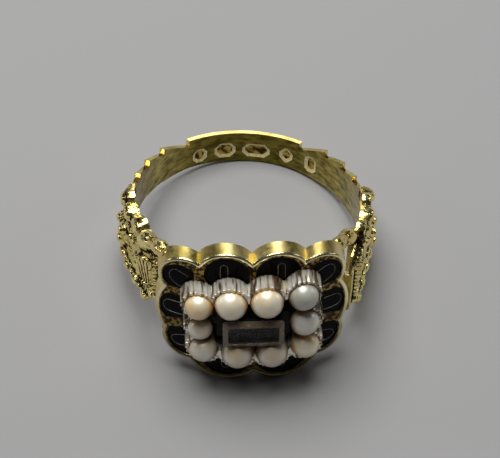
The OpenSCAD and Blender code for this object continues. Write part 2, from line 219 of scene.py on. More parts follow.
def add_noise(tree, scale, detail=2.0, stretch=None):
    """A noise over the piece; stretch turns its grains into strokes."""
    made = add_node(tree, "ShaderNodeTexNoise", Scale=scale, Detail=detail)
    place = tree.nodes.new("ShaderNodeTexCoord").outputs["Object"]
    if stretch:
        squeeze = add_node(tree, "ShaderNodeMapping")
        squeeze.inputs["Scale"].default_value = stretch
        tree.links.new(place, squeeze.inputs["Vector"])
        place = squeeze.outputs[0]
    tree.links.new(place, made.inputs["Vector"])
    return made.outputs[0]


def add_bump(tree, height, strength, distance):
    """Tiny unevenness that is too fine to model."""
    made = add_node(tree, "ShaderNodeBump", Strength=strength, Distance=distance)
    tree.links.new(height, made.inputs["Height"])
    wire_in(tree, made.outputs[0], "Normal")


print("helpers for the nets are ready")

# %% [markdown]
# ## Worn metal as a node group
# Gold and silver that have been worn for two centuries share one look: open places are
# polished by the finger, recesses keep dirt and get painted shade, and the whole surface has
# tiny dents. The group takes a mask of how open each place is and gives back a colour, a
# roughness and a height.
# Every metal puts in its own colours.

# %% The worn metal group, with painted shade in its recesses
worn_shaded_metal = bpy.data.node_groups.new("worn_shaded_metal", "ShaderNodeTree")
for name, way, kind in (("Open", "INPUT", "Float"), ("Polished", "INPUT", "Color"),
                        ("Tarnished", "INPUT", "Color"), ("Grimy_Shaded", "INPUT", "Color"),
                        ("Color", "OUTPUT", "Color"), ("Roughness", "OUTPUT", "Float"),
                        ("Height", "OUTPUT", "Float")):
    worn_shaded_metal.interface.new_socket(name, in_out=way, socket_type="NodeSocket" + kind)
come_in = worn_shaded_metal.nodes.new("NodeGroupInput").outputs
go_out = worn_shaded_metal.nodes.new("NodeGroupOutput").inputs
cloud = add_noise(worn_shaded_metal, 620.0, 4.0)
dents = add_noise(worn_shaded_metal, 2400.0, 3.0)
pores = add_noise(worn_shaded_metal, 9000.0, 2.0)
stain = map_range(worn_shaded_metal, cloud, 0.38, 0.74, 0.0, 0.85)
# Dirt and painted shade: where little light reaches, the colour turns to the grimy one.
dirt_and_shade = map_range(worn_shaded_metal, come_in["Open"], 0.18, 0.72, 1.0, 0.0)
metal = mix_colors(worn_shaded_metal, stain, come_in["Polished"], come_in["Tarnished"])
smooth = map_range(worn_shaded_metal, dents, 0.3, 0.7, 0.12, 0.26)
dull = map_range(worn_shaded_metal, come_in["Open"], 0.15, 0.7, 0.28, 0.0)
worn_shaded_metal.links.new(mix_colors(worn_shaded_metal, dirt_and_shade, metal, come_in["Grimy_Shaded"]), go_out["Color"])
worn_shaded_metal.links.new(math_node(worn_shaded_metal, "ADD", smooth, dull), go_out["Roughness"])
worn_shaded_metal.links.new(math_node(worn_shaded_metal, "MULTIPLY_ADD", dents, 2.0, pores), go_out["Height"])
print("worn metal group with", len(worn_shaded_metal.nodes), "nodes")


# %% [markdown]
# ## Gold and silver
# Each metal names its polished, tarnished and grimy colour; the grimy one is dirt and painted
# shade. A place is open where light reaches it, and on chased work where the relief stands
# proud. The silver gets dark streaks of painted shade between its flutes.

# %% Gold and silver from the group
def metal_material(name, polished, tarnished, grimy_shaded, reach, bump, chased=False):
    """A worn metal; on chased work the mesh's relief adds to its dirt and painted shade."""
    material, tree = new_material(name, Metallic=1.0, Coat_Weight=0.12, Coat_Roughness=0.15)
    group = tree.nodes.new("ShaderNodeGroup")
    group.node_tree = worn_shaded_metal
    group.name = "worn"
    for key, value in (("Polished", polished), ("Tarnished", tarnished), ("Grimy_Shaded", grimy_shaded)):
        group.inputs[key].default_value = (*value, 1)
    open_sky = add_node(tree, "ShaderNodeAmbientOcclusion", Distance=reach).outputs["AO"]
    if chased:
        relief = add_node(tree, "ShaderNodeAttribute", attribute_name="relief").outputs["Fac"]
        proud = map_range(tree, relief, 0.22, 0.6, 0.2, 1.5)
        open_sky = math_node(tree, "MULTIPLY", open_sky, proud)
    tree.links.new(open_sky, group.inputs["Open"])
    wire_in(tree, group.outputs["Color"])
    wire_in(tree, group.outputs["Roughness"], "Roughness")
    add_bump(tree, group.outputs["Height"], bump, 0.00002)
    return material


bright_gold = metal_material("burnished_gold", (1.0, 0.92, 0.56), (0.66, 0.52, 0.18),
                             (0.25, 0.14, 0.03), reach=0.0002, bump=0.3)
chased_gold = metal_material("chased_gold", (1.0, 0.86, 0.36), (0.72, 0.50, 0.10),
                             (0.018, 0.008, 0.002), reach=0.0005, bump=0.7, chased=True)
body_gold = metal_material("body_gold", (0.93, 0.74, 0.26), (0.42, 0.30, 0.06),
                           (0.04, 0.018, 0.004), reach=0.0008, bump=0.35)
silver = metal_material("silver_gilt", (0.96, 0.93, 0.84), (0.80, 0.70, 0.50),
                        (0.06, 0.04, 0.02), reach=0.00016, bump=0.3)
tree = silver.node_tree
set_inputs(tree, Metallic=0.6)
# Painted shade: dark brown streaks along the flutes of the setting's wall.
flute_shade_streaks = mask(tree, add_noise(tree, 4200.0, 1.0, (1, 0.1, 0.25)), 0.36, 0.52)
wire_in(tree, mix_colors(tree, flute_shade_streaks, (0.16, 0.10, 0.05), tree.nodes["worn"].outputs["Color"]))
print(bright_gold.name, chased_gold.name, body_gold.name, silver.name)

# %% [markdown]
# ## Where the gold looks different
# The rim and the body look different from place to place. So the nodes undo the move that laid
# the ring down, and measure the distance from an axis: the hoop's own, or the one that the
# bezel is curved round. Both golds get painted shade that darkens them towards the lower edge.


# %% Distances on the standing ring
def standing(tree):
    """The place on the standing ring, in millimetres."""
    move = add_node(tree, "ShaderNodeMapping")
    move.inputs["Scale"].default_value = (1000, 1000, 1000)
    move.inputs["Rotation"].default_value = (LEAN, 0, 0)
    move.inputs["Location"].default_value = -(Matrix.Rotation(LEAN, 3, "X") @ SHIFT)
    tree.links.new(tree.nodes.new("ShaderNodeTexCoord").outputs["Object"], move.inputs["Vector"])
    return move.outputs[0]


def from_axis(tree, place, turn, shift):
    """How far a place is from an upright axis, after a turn about Y and a shift along Y."""
    move = add_node(tree, "ShaderNodeMapping")
    move.inputs["Rotation"].default_value = (0, -turn, 0)
    move.inputs["Location"].default_value = (0, -shift, 0)
    tree.links.new(place, move.inputs["Vector"])
    flat = add_node(tree, "ShaderNodeVectorMath", operation="MULTIPLY")
    flat.inputs[1].default_value = (1, 1, 0)
    tree.links.new(move.outputs[0], flat.inputs[0])
    length = add_node(tree, "ShaderNodeVectorMath", operation="LENGTH")
    tree.links.new(flat.outputs[0], length.inputs[0])
    return length.outputs["Value"]


def split_axes(tree, place):
    """The place's X, Y and Z."""
    split = tree.nodes.new("ShaderNodeSeparateXYZ")
    tree.links.new(place, split.inputs[0])
    return split.outputs


def painted_low_shade(tree, place, strength):
    """Painted shade: full strength at the bezel's lower edge, and nothing above its middle."""
    lowness = map_range(tree, split_axes(tree, place)["Z"], -4.8, 0.6, 1.0, 0.0)
    return math_node(tree, "MULTIPLY", lowness, strength)


# %% The rim's own roughness and painted shade
tree = bright_gold.node_tree
tree.links.remove(tree.nodes[SHADER].inputs["Roughness"].links[0])
set_inputs(tree, Roughness=0.24)
# Painted shade: the rim turns dark brown towards the bezel's lower edge.
wire_in(tree, mix_colors(tree, painted_low_shade(tree, standing(tree), 0.85),
                         tree.nodes["worn"].outputs["Color"], (0.10, 0.06, 0.012)))
print("the rim darkens towards the bezel's lower edge")

# %% [markdown]
# ## The body's own gold
# The soldered body shows four more tones. Inside the hoop the gold is a dull olive, and its back
# is darker than its flanks: painted shade. The bezel's wall is blotched where it was heated for
# the enamel. Its ground between the cells was pricked with a punch and holds brown dirt, and the
# feet of the shoulders behind it are rough with old solder. Wall and ground also get painted
# shade towards the bezel's lower edge.

# %% The tones of the body and where each lies
tree = body_gold.node_tree
place = standing(tree)
axes = split_axes(tree, place)
aside = math_node(tree, "ABSOLUTE", axes["X"])

scratches = mask(tree, add_noise(tree, 1300.0, 5.0, (1, 1, 2.5)), 0.35, 0.7)
# Painted shade: the back of the hoop's inside is darker than its flanks.
shaded_back_olive = mix_colors(tree, scratches, (0.07, 0.052, 0.003), (0.24, 0.19, 0.03))
side_olive = mix_colors(tree, scratches, (0.16, 0.125, 0.015), (0.62, 0.50, 0.15))
olive = mix_colors(tree, mask(tree, aside, 3.5, 6.5), shaded_back_olive, side_olive)
inside = map_range(tree, from_axis(tree, place, TURN, 0), BORE + 0.005, BORE + 0.03, 1.0, 0.0)
inside = math_node(tree, "MULTIPLY", inside, mask(tree, axes["Y"], -5.6, -4.4))

solder = mask(tree, add_noise(tree, 2300.0, 2.0), 0.42, 0.58)
soldered = mix_colors(tree, solder, (0.10, 0.04, 0.01), (0.95, 0.62, 0.24))
foot = map_range(tree, axes["Y"], -6.8, -6.4, 1.0, 0.0)
foot = math_node(tree, "MULTIPLY", foot, mask(tree, aside, 5.9, 6.2))

patches = add_noise(tree, 650.0, 3.0, (1.3, 0.35, 1.3))
heated_and_shaded = mix_colors(tree, mask(tree, patches, 0.36, 0.58), (0.48, 0.38, 0.09), (0.90, 0.73, 0.28))
heated_and_shaded = mix_colors(tree, mask(tree, patches, 0.58, 0.72), heated_and_shaded, (0.97, 0.78, 0.42))
pricks = mask(tree, add_noise(tree, 3800.0, 1.0), 0.45, 0.62)
pricked_and_shaded = mix_colors(tree, pricks, (0.03, 0.014, 0.005), (0.36, 0.25, 0.07))
# Painted shade: the wall and the ground darken towards the bezel's lower edge.
low = painted_low_shade(tree, place, 0.8)
heated_and_shaded = mix_colors(tree, low, heated_and_shaded, (0.09, 0.055, 0.012))
pricked_and_shaded = mix_colors(tree, low, pricked_and_shaded, (0.02, 0.01, 0.004))
round_bezel = from_axis(tree, place, 0, CURVE_R - FACE)
wall = mask(tree, round_bezel, 13.9, 14.1)
ground = mask(tree, round_bezel, CURVE_R - 0.14, CURVE_R - 0.06)

# %% Lay the tones over each other
tone = tree.nodes["worn"].outputs["Color"]
for where, color in ((foot, soldered), (inside, olive), (wall, heated_and_shaded), (ground, pricked_and_shaded)):
    tone = mix_colors(tree, where, tone, color)
wire_in(tree, tone)
rough = math_node(tree, "ADD", tree.nodes["worn"].outputs["Roughness"],
                  math_node(tree, "MULTIPLY", wall, 0.16))
wire_in(tree, rough, "Roughness")
print("the body's gold has", len(tree.nodes), "nodes")

# %% [markdown]
# ## Black enamel
# The cells hold glass that was ground flush while the gold was flat and then fire polished, so
# it is nearly black, very smooth and just a little wavy. A slow noise bends its reflections.

# %% The enamel
enamel, tree = new_material("black_enamel_glass", Specular_IOR_Level=0.06)
wave = add_noise(tree, 900.0)
wire_in(tree, mix_colors(tree, wave, (0.001, 0.001, 0.001), (0.006, 0.005, 0.005)))
wire_in(tree, map_range(tree, wave, 0.3, 0.7, 0.04, 0.12), "Roughness")
add_bump(tree, wave, 0.2, 0.00006)
print(enamel.name)

# %% [markdown]
# ## Pearl skin
# A pearl is milky: light goes in, scatters and comes out, and a thin pearly skin adds a soft
# gloss with pink and green tints. Subsurface scattering and a coat do that. Old pearls differ
# in tone, so there are a cream, a pale and a grey one, with the same nodes. Where a pearl
# sinks into its seat it is painted darker and browner: painted shade, and a painted warm
# reflection of the gold.


# %% The three tones of pearl
def pearl_material(name, body, shade, rim):
    """A pearl's skin: its main tone, its blotches, and painted shade at the seat."""
    material, tree = new_material(
        name, Metallic=0.3, Roughness=0.38, Coat_Weight=0.6, Coat_Roughness=0.28,
        Subsurface_Weight=0.1, Subsurface_Radius=(1.0, 0.75, 0.6), Subsurface_Scale=0.0003,
        Thin_Film_Thickness=330.0, Thin_Film_IOR=1.4)
    blotch = mask(tree, add_noise(tree, 600.0, 3.0), 0.35, 0.7)
    # Painted shade and a painted warm reflection of the gold, where the pearl meets its seat.
    seat = add_node(tree, "ShaderNodeAmbientOcclusion", Distance=0.0009).outputs["AO"]
    skin = mix_colors(tree, blotch, body, shade)
    wire_in(tree, mix_colors(tree, mask(tree, seat, 0.45, 1.0), rim, skin))
    add_bump(tree, blotch, 0.12, 0.00003)
    return material


cream = pearl_material("pearl_cream", (0.92, 0.87, 0.72), (0.92, 0.70, 0.38), (0.66, 0.40, 0.12))
pale = pearl_material("pearl_pale", (0.80, 0.79, 0.72), (0.70, 0.57, 0.38), (0.34, 0.22, 0.09))
grey = pearl_material("pearl_grey", (0.58, 0.59, 0.52), (0.42, 0.38, 0.27), (0.22, 0.16, 0.08))
print("three pearl tones:", cream.name, pale.name, grey.name)

# %% [markdown]
# ## The ten half pearls
# A half pearl is a pearl sawn through, set with its round side up. Each one starts as a ball,
# is pushed a little out of round by a slow noise, and is cut flat at its seat. The CAD model
# says where each sits, so the table is the same as the one there.

# %% Half pearls
def cut_off(bm, at, outward):
    """Saw off what lies beyond a plane, and give back the edges of the cut."""
    cut = bmesh.ops.bisect_plane(bm, geom=bm.verts[:] + bm.edges[:] + bm.faces[:],
                                 plane_co=at, plane_no=outward, clear_outer=True)
    return [e for e in cut["geom_cut"] if isinstance(e, bmesh.types.BMEdge)]


# across, up, radius, tone
PEARLS = [(-3.97, 1.72, 1.07, cream), (-1.65, 2.14, 1.22, cream), (0.97, 2.3, 1.24, cream),
          (3.62, 2.47, 1.14, grey), (3.72, -0.05, 1.1, pale), (3.76, -2.32, 1.07, cream),
          (1.3, -2.62, 1.21, pale), (-1.2, -2.62, 1.2, pale), (-3.7, -2.38, 1.05, pale),
          (-3.92, -0.37, 0.93, pale)]
SEAT = 0.23    # the flat back lies this far under the middle of the ball
OUT_OF_ROUND = 0.03

for number, (across, up, radius, tone) in enumerate(PEARLS, start=1):
    bm = bmesh.new()
    bmesh.ops.create_icosphere(bm, subdivisions=5, radius=radius)
    for vert in bm.verts:
        ripple = noise.noise(vert.co * 0.9 + Vector((number * 7.3, 0, 0)))
        vert.co *= 1 - OUT_OF_ROUND * abs(ripple)
    bmesh.ops.holes_fill(bm, edges=cut_off(bm, (0, 0, -SEAT), (0, 0, -1)))
    bmesh.ops.transform(bm, matrix=on_face(across, up, GIRDLE), verts=bm.verts)
    finish_piece(f"half_pearl_{number}", bm, [tone], [f"pearl_{number}"])

# %% [markdown]
# ## The claws of the setting
# The edge of the silver was cut into fine teeth and pushed over the pearls. Each tooth is a
# small drop, drawn once and set on every crest of the fluted wall, leaning in to its pearl.


# %% Where the fluted wall runs round each pearl
WALL = 0.3    # thickness of the silver round a pearl
FLUTE = 0.42    # from one crest of the wall to the next


def heading(here, to):
    """The direction from one circle's middle to another's."""
    return math.atan2(to[1] - here[1], to[0] - here[0])


def spread(here, to, grow=0.0):
    """Half the angle that a circle loses inside its neighbour, with both grown a little."""
    gap = math.dist(here[:2], to[:2])
    mine, theirs = here[2] + grow, to[2] + grow
    return math.acos((mine ** 2 + gap ** 2 - theirs ** 2) / (2 * mine * gap))


def wall_crests(before, pearl, after):
    """Angles of the wall's crests round one pearl, between its crossings with both neighbours."""
    start = heading(pearl, before) - spread(pearl, before, WALL)
    span = (start - heading(pearl, after) - spread(pearl, after, WALL)) % math.tau
    count = round(span * (pearl[2] + WALL) / FLUTE)
    return [start - span * k / count for k in range(count)]


# %% The claws
CLAW_OUT = 0.13    # the claws stand this far outside their pearl
CLAW_LEAN = math.radians(-14)
CLAW_SIZE = (0.19, 0.13, 0.11)

claws = bmesh.new()
for number, pearl in enumerate(PEARLS):
    reach = pearl[2] + CLAW_OUT
    for angle in wall_crests(PEARLS[number - 1], pearl, PEARLS[(number + 1) % len(PEARLS)]):
        at = (pearl[0] + reach * math.cos(angle), pearl[1] + reach * math.sin(angle))
        drop = (on_face(*at, SETTING_H - 0.02) @ Matrix.Rotation(angle, 4, "Z")
                @ Matrix.Rotation(CLAW_LEAN, 4, "Y") @ Matrix.Diagonal((*CLAW_SIZE, 1)))
        bmesh.ops.create_uvsphere(claws, u_segments=10, v_segments=6, radius=1, matrix=drop)
finish_piece("setting_claws", claws, [silver], turn_faces=False)

# %% [markdown]
# ## Fine lines in the enamel
# Each cell shows a thin line bent like a horseshoe, open towards the pearls: metal left
# standing when the ground was cut away. A thin wire on a curve is the quickest way to draw
# them, and only its top comes out of the enamel.

# %% A wire along a path
def add_wire(bm, points, radius, closed=False, sides=2):
    """Add a round wire that runs through the points."""
    curve = bpy.data.curves.new("path", "CURVE")
    curve.dimensions = "3D"
    curve.bevel_depth = radius
    curve.bevel_resolution = sides
    curve.use_fill_caps = True
    line = curve.splines.new("POLY")
    line.points.add(len(points) - 1)
    for at, point in zip(line.points, points):
        at.co = (*point, 1)
    line.use_cyclic_u = closed
    holder = bpy.data.objects.new("path", curve)
    mesh = bpy.data.meshes.new_from_object(holder)
    bm.from_mesh(mesh)
    bpy.data.objects.remove(holder)
    bpy.data.curves.remove(curve)
    bpy.data.meshes.remove(mesh)


def smooth_path(points, steps=8):
    """A curve through all the points, the way a jeweller bends wire round pins."""
    points = [Vector(p) for p in points]
    path = []
    for k in range(len(points) - 1):
        a, b = points[max(k - 1, 0)], points[k]
        c, d = points[k + 1], points[min(k + 2, len(points) - 1)]
        for t in (j / steps for j in range(steps)):
            path.append(0.5 * (2 * b + (c - a) * t + (2 * a - 5 * b + 4 * c - d) * t * t
                               + (3 * b - 3 * c + d - a) * t ** 3))
    return path + [points[-1]]


# %% The horseshoe lines
# (across, up) along the line of each cell on the right; the left side mirrors them
LINES = [
    [(1.83, 3.3), (1.83, 4.4), (1.93, 4.62), (2.1, 4.7), (2.27, 4.62), (2.36, 4.4), (2.36, 3.3)],
    [(4.68, 3.2), (5.2, 3.5), (5.7, 3.66), (6.02, 3.32), (6.02, 2.85), (5.7, 2.4), (5.2, 2.05)],
    [(5.2, 0.46), (5.8, 0.53), (6.3, 0.52), (6.55, 0.1), (6.4, -0.4), (5.9, -0.6), (5.2, -0.66)],
    [(4.9, -2.66), (5.45, -2.74), (5.9, -2.9), (6.02, -3.25), (5.75, -3.6), (5.3, -3.75),
     (4.8, -3.6)],
    [(1.83, -4.2), (1.83, -5.1), (1.93, -5.35), (2.1, -5.43), (2.27, -5.35), (2.36, -5.1),
     (2.36, -4.2)]]
LINE_RADIUS, LINE_LEVEL = 0.035, -0.105

wire, tree = new_material("dull_wire", Metallic=0.7, Roughness=0.4)
wire_in(tree, mix_colors(tree, add_noise(tree, 5000.0), (0.05, 0.045, 0.04), (0.26, 0.24, 0.22)))
lines = bmesh.new()
for side in (1, -1):
    for line in LINES:
        path = [spot(side * x, w, LINE_LEVEL) for x, w in smooth_path(line)]
        add_wire(lines, path, LINE_RADIUS)
finish_piece("enamel_lines", lines, [wire], turn_faces=False)

# %% [markdown]
# ## The plaited hair
# Under the glass lies a flat plait of brown hair. It is woven like cloth: strands cross at a
# slant, over and under in turn. Each strand is a narrow strip that waves up and down, cut to
# the little window.

# %% One strand of the plait
HAIR_AT = (-0.06, -0.2)    # the window's middle, across and up
HAIR_W, HAIR_H, HAIR_LEVEL = 3.84, 1.70, 1.56
SLANT, PITCH = 38, 0.21    # degrees, and the distance between strands
HALF_LONG, HALF_WIDE = 2.7, 0.098   # of a strand before it is cut
LIFT, CROWN = 0.022, 0.018    # of its waves, and of its rounded back


def woven_strip(lean, row):
    """A waved strip at a slant, cut to the window."""
    direction = Vector((math.cos(math.radians(lean)), math.sin(math.radians(lean)), 0))
    beside = Vector((-direction[1], direction[0], 0))
    over_under = math.copysign(LIFT, lean)
    strip = bmesh.new()
    bmesh.ops.create_grid(strip, x_segments=90, y_segments=4, size=1)
    for vert in strip.verts:
        ahead, aside = vert.co.x * HALF_LONG, vert.co.y * HALF_WIDE
        phase = math.pi * (ahead / (PITCH / math.sin(math.radians(2 * SLANT))) + row)
        height = over_under * math.cos(phase) + CROWN * (1 - (aside / 0.1) ** 2)
        vert.co = direction * ahead + beside * (row * PITCH + aside) + Vector((0, 0, height))
    for limit, axis in ((HAIR_W / 2, (1, 0, 0)), (HAIR_W / 2, (-1, 0, 0)),
                        (HAIR_H / 2, (0, 1, 0)), (HAIR_H / 2, (0, -1, 0))):
        cut_off(strip, Vector(axis) * limit, axis)
    return strip


# %% Woven strands
strands = bmesh.new()
for lean in (SLANT, -SLANT):
    for row in range(-12, 13):
        mesh = to_mesh("strip", woven_strip(lean, row))
        strands.from_mesh(mesh)
        bpy.data.meshes.remove(mesh)
bmesh.ops.solidify(strands, geom=strands.faces[:], thickness=0.02)
stand_up = (Matrix.Translation((HAIR_AT[0], -(FACE + HAIR_LEVEL), HAIR_AT[1]))
            @ Matrix.Rotation(math.pi / 2, 4, "X"))
bmesh.ops.transform(strands, matrix=stand_up, verts=strands.verts)

hair, tree = new_material("plaited_hair", Roughness=0.45, Specular_IOR_Level=0.3)
fibre = mask(tree, add_noise(tree, 14000.0), 0.35, 0.65)
# Painted shade: where strands cover each other, the colour turns almost black.
covered = add_node(tree, "ShaderNodeAmbientOcclusion", Distance=0.0001).outputs["AO"]
strand = mix_colors(tree, fibre, (0.004, 0.002, 0.001), (0.05, 0.024, 0.008))
wire_in(tree, mix_colors(tree, map_range(tree, covered, 0.3, 0.9, 1.0, 0.0), strand,
                         (0.001, 0.001, 0.001)))
finish_piece("plaited_hair", strands, [hair], ["hair_panel"], merge=0.0002)

# %% [markdown]
# ## The chased relief of the shoulders
# The shoulders were cast and then chased with small punches, which leaves crisp flowers,
# scrolls and a fluted shell. The CAD model has the main lumps. Here a fine grid lies over
# them and is lifted by the same formula, with the punch work added: veins, petal edges,
# grooves and the twist of the rope. It stands a few hundredths over the solid gold.

# %% Where the shoulder runs
ROUND_R = 9.0    # radius of the gold's outer face under the relief
TURNS = {1: math.radians(103), -1: math.radians(112)}    # right and left leave the round here


def along(s, w, h, turn):
    """The place on a standing ring's shoulder: s along it, w across, h above the metal."""
    straight_from = ROUND_R * (turn - math.pi / 2)
    a = math.pi / 2 + np.minimum(s, straight_from) / ROUND_R
    past = np.maximum(s - straight_from, 0)
    x = (ROUND_R + h) * np.sin(a) + past * math.cos(turn)
    y = (ROUND_R + h) * np.cos(a) - past * math.sin(turn)
    return np.stack([x, y, w + 0 * s], axis=-1)


# %% The tables of the relief, the same as in the CAD model
# the upper and the lower edge and the rail: along, across
UPPER = [(-1.17, 2.35), (-0.3, 2.4), (0.1, 2.75), (0.5, 2.9), (0.95, 2.7), (1.2, 2.35),
         (1.5, 2.6), (1.9, 2.75), (2.4, 2.65), (2.8, 2.4), (3.2, 2.75), (3.6, 2.98), (4.0, 3.08),
         (4.4, 2.95), (4.8, 2.6), (5.2, 2.6), (5.6, 2.2), (6.1, 2.0), (6.6, 1.8), (8.7, 1.8)]
LOWER = [(-1.17, -1.75), (-0.2, -1.9), (0.3, -2.1), (0.9, -1.85), (1.6, -2.35), (2.3, -2.2),
         (2.9, -2.65), (3.6, -2.4), (4.2, -2.95), (4.8, -2.75), (5.3, -2.65), (5.8, -3.1),
         (6.3, -2.9), (6.6, -2.25), (7.1, -1.95), (7.6, -1.7), (8.7, -1.6)]
RAIL = [(-1.1, -1.25), (0.25, -1.6), (1.65, -1.9), (2.9, -2.2), (4.25, -2.5), (5.85, -2.7),
        (7.4, -2.75)]
# lumps and knobs: along, across, radius, height
LUMPS = [(0.25, -1.6, 0.58, 0.52), (1.65, -1.9, 0.56, 0.58), (2.9, -2.2, 0.56, 0.56),
         (4.25, -2.5, 0.52, 0.5), (1.75, 0.4, 0.52, 0.84), (1.45, -0.7, 0.62, 0.8),
         (2.3, 1.3, 0.36, 0.46), (0.5, 0.45, 0.55, 0.7), (5.0, 2.1, 0.36, 0.5),
         (5.85, -2.7, 0.48, 0.48), (7.15, -1.5, 0.42, 0.44)]
KNOBS = {1: [(-0.4, 2.1, 0.7, 0.54), (2.1, 2.25, 0.72, 0.56), (3.55, 2.1, 0.76, 0.6)],
         -1: [(0.45, 2.15, 0.72, 0.56), (2.1, 2.25, 0.72, 0.58), (4.1, 2.35, 0.76, 0.62)]}
# leaves: from along, across, to along, across, half width, height
BLADES = [(3.6, 0.1, 4.45, 0.8, 0.3, 0.38), (4.5, 1.1, 5.5, 1.6, 0.3, 0.4),
          (5.3, 0.95, 6.3, 1.45, 0.26, 0.34), (2.2, -1.25, 3.3, -1.7, 0.28, 0.32),
          (2.45, -0.3, 3.2, -1.15, 0.3, 0.36), (4.15, 1.5, 4.6, 2.1, 0.26, 0.34),
          (-0.9, 1.3, 1.1, 1.45, 0.3, 0.28), (-0.9, -0.8, 0.7, -0.75, 0.3, 0.26),
          (-0.9, 0.25, 0.3, 0.3, 0.28, 0.24)]
FLOWER = (3.0, 0.8)
SHELL_FROM = (6.7, -5.9)    # the ribs of the shell and the fan all spread from this point
SHELL_R, FAN_R = (4.4, 6.15), (3.45, 4.3)
SHELL_ANGLES = (92, 121)    # degrees round that point
print("lumps", len(LUMPS), "leaves", len(BLADES))

# %% [markdown]
# ## One function for each motif
# Each motif is a hill with grooves pressed into it, and zero outside its own edge. Where two
# of them meet, the higher one shows.


# %% Knobs, lumps and leaves
def dome(d, r, h, power=2.0):
    """A hill of radius r and height h; a higher power makes its top flatter."""
    return h * np.clip(1 - (np.abs(d) / r) ** power, 0, None)


def groove(d, width, depth):
    """What a chasing tool presses in, at a distance d from its line."""
    return depth * np.exp(-(d / width) ** 2)


def knob_relief(s, w, knobs):
    """Squarish knobs along the upper edge, each with a groove across it."""
    best = np.zeros_like(s)
    for cs, cw, r, h in knobs:
        square = (np.abs(s - cs) ** 3 + np.abs(w - cw) ** 3) ** (1 / 3)
        knob = dome(square, r, h, 3.2) - groove(w - cw + 0.1, 0.07, 0.05)
        best = np.maximum(best, np.where(square < r, knob, 0))
    return best


def lump_relief(s, w):
    """Lumps with a ring and five notches; those along the lower edge are drawn out."""
    best = np.zeros_like(s)
    for cs, cw, r, h in LUMPS:
        longer = 1.4 if cw < -1.2 else 1.0
        d, a = np.hypot((s - cs) / longer, w - cw), np.arctan2(w - cw, s - cs)
        lump = dome(d, r + 0.1, h + 0.09, 2.8) - groove(d / r - 0.66, 0.1, 0.06)
        lump -= 0.05 * (d > 0.66 * r) * np.clip(np.cos(5 * a), 0, 1)
        best = np.maximum(best, np.where(d < r + 0.1, lump, 0))
    return best


def leaf_relief(s, w):
    """Leaves with a groove down their middle and slanting veins."""
    best = np.zeros_like(s)
    for s1, w1, s2, w2, r, h in BLADES:
        length = math.hypot(s2 - s1, w2 - w1)
        ahead = ((s2 - s1) / length, (w2 - w1) / length)
        t = (s - s1) * ahead[0] + (w - w1) * ahead[1]
        off = -(s - s1) * ahead[1] + (w - w1) * ahead[0]
        d = np.hypot(off, t - np.clip(t, 0, length))
        veins = np.clip(np.cos((t - np.abs(off) * 1.4) * 18), 0, 1) * (np.abs(off) > 0.06)
        leaf = dome(d, r, h, 2.2) - groove(off, 0.05, 0.09) - 0.035 * veins
        best = np.maximum(best, np.where(d < r, leaf, 0))
    return best


# %% Flower, shell, fan, rope and mound
def flower_relief(s, w):
    """Five hollow petals round a button."""
    best = dome(np.hypot(s - FLOWER[0], w - FLOWER[1]), 0.24, 0.58)
    for k in range(5):
        turn = math.radians(72 * k + 20)
        at = (FLOWER[0] + 0.5 * math.cos(turn), FLOWER[1] + 0.5 * math.sin(turn))
        d = np.hypot(s - at[0], w - at[1])
        petal = dome(d, 0.34, 0.46, 3.0) - groove(d, 0.16, 0.16)
        best = np.maximum(best, np.where(d < 0.34, petal, 0))
    return best


def shell_relief(s, w):
    """The fluted shell, and the fan below it with one rib more."""
    qs, qw = s - SHELL_FROM[0], w - SHELL_FROM[1]
    r, a = np.hypot(qs, qw), np.degrees(np.arctan2(qw, qs))
    first, last = SHELL_ANGLES
    share = np.clip((last - a) / (last - first), 0, 1)
    rim = SHELL_R[1] + 0.7 * share
    rib = np.abs(np.cos(np.pi * 5 * share)) ** 0.8
    shell = (0.17 + 0.27 * (r - SHELL_R[0]) / (rim - SHELL_R[0])) * (0.25 + 0.8 * rib)
    fan = 0.06 + 0.24 * np.abs(np.cos(np.pi * 6 * share))
    inside = (a < last) & (a > first)
    return (np.where(inside & (r > SHELL_R[0]) & (r < rim), shell, 0)
            + np.where(inside & (r > FAN_R[0]) & (r < FAN_R[1]), fan, 0))


def rope_relief(s, w):
    """The twisted rope that ends the shoulder."""
    twist = np.abs(np.cos(np.pi * (w - 0.7 * s) / 0.37)) ** 0.6
    return np.where((w > -1.25) & (w < 1.7), dome(s - 7.3, 0.36, 0.16 + 0.26 * twist, 2.4), 0)


def rail_relief(s, w):
    """The rail that joins the lumps of the lower edge."""
    rail = dome(w - np.interp(s, *zip(*RAIL)), 0.5, 0.49 - 0.04 * np.cos(s * 9.4), 2.4)
    return np.where(s < 7.4, rail, 0)


def mound_relief(s, w):
    """The broad mound in the middle, combed with a bent comb."""
    combed = 0.07 * np.abs(np.cos(5.2 * s - 3.0 * np.abs(w + 0.1))) ** 4
    return dome(np.hypot((s - 1.25) / 1.3, w + 0.1), 1.25, 0.66, 3.0) - combed


